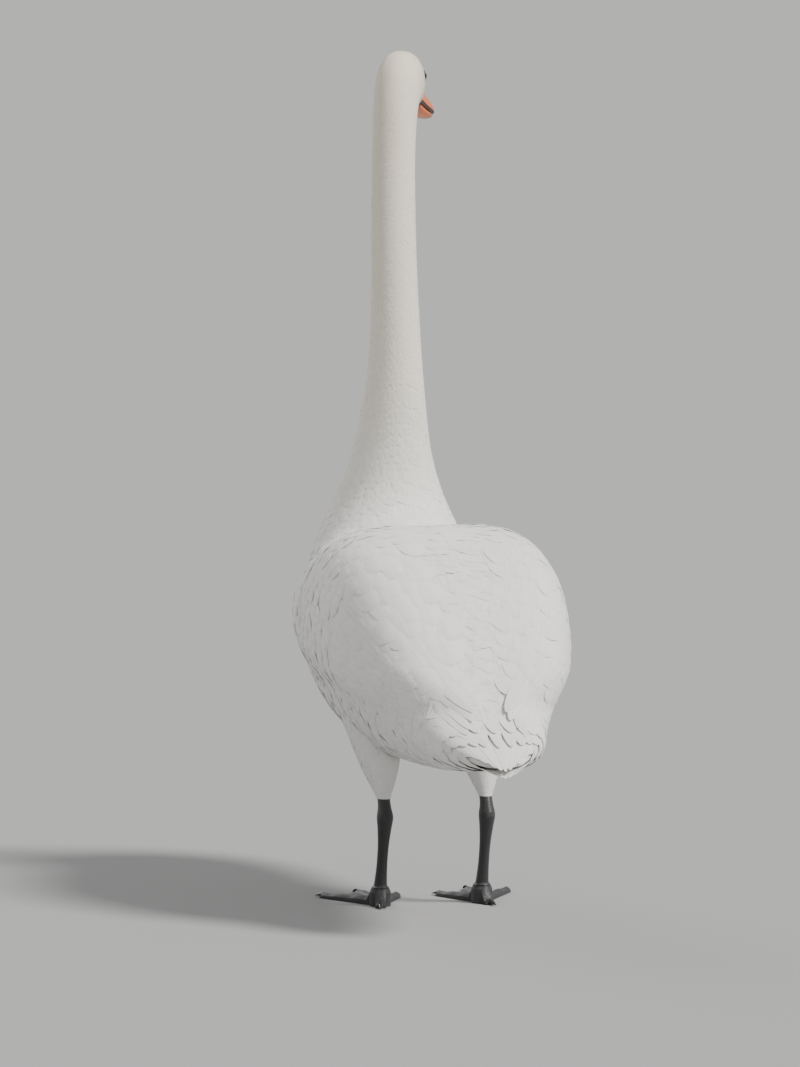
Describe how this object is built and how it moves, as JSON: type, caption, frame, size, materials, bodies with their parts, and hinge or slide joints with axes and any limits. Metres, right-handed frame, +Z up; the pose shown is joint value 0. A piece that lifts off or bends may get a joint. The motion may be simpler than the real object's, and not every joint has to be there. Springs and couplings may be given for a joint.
{
  "type": "mute swan model",
  "caption": "Life-size still model of an adult mute swan standing on land, neck upright, head turned a little to its right, wings folded.",
  "frame": {"origin": "on the floor, under the middle of the model's bounding box", "axes": "+Z up, -Y the way the body faces, +X towards the bird's left side"},
  "size_m": [0.351, 0.8561, 1.1994],
  "materials": {
    "plumage_white": "soft matt white feathers",
    "plumage_neck": "soft matt feathers, white with a cream tinge",
    "bill_orange": "satin orange horn",
    "bill_black": "satin black skin",
    "eye_dark": "wet gloss, dark brown",
    "leg_black": "scaly dark grey skin",
    "claw_black": "satin black horn"
  },
  "bodies": {
    "root": {"head": "plumage_neck", "neck_upper": "plumage_neck", "neck_middle": "plumage_white", "neck_lower": "plumage_white", "trunk": "plumage_white", "tail": "plumage_white", "wing_left": "plumage_white", "wing_right": "plumage_white", "thigh_left": "plumage_white", "thigh_right": "plumage_white", "bill_upper": "bill_orange", "bill_lower": "bill_orange", "bill_knob": "bill_black", "eye_left": "eye_dark", "eye_right": "eye_dark", "shank_left": "leg_black", "shank_right": "leg_black", "foot_left": "leg_black", "foot_right": "leg_black", "claw_inner_left": "claw_black", "claw_inner_right": "claw_black", "claw_middle_left": "claw_black", "claw_middle_right": "claw_black", "claw_outer_left": "claw_black", "claw_outer_right": "claw_black", "claw_hind_left": "claw_black", "claw_hind_right": "claw_black"}
  },
  "joints": []
}
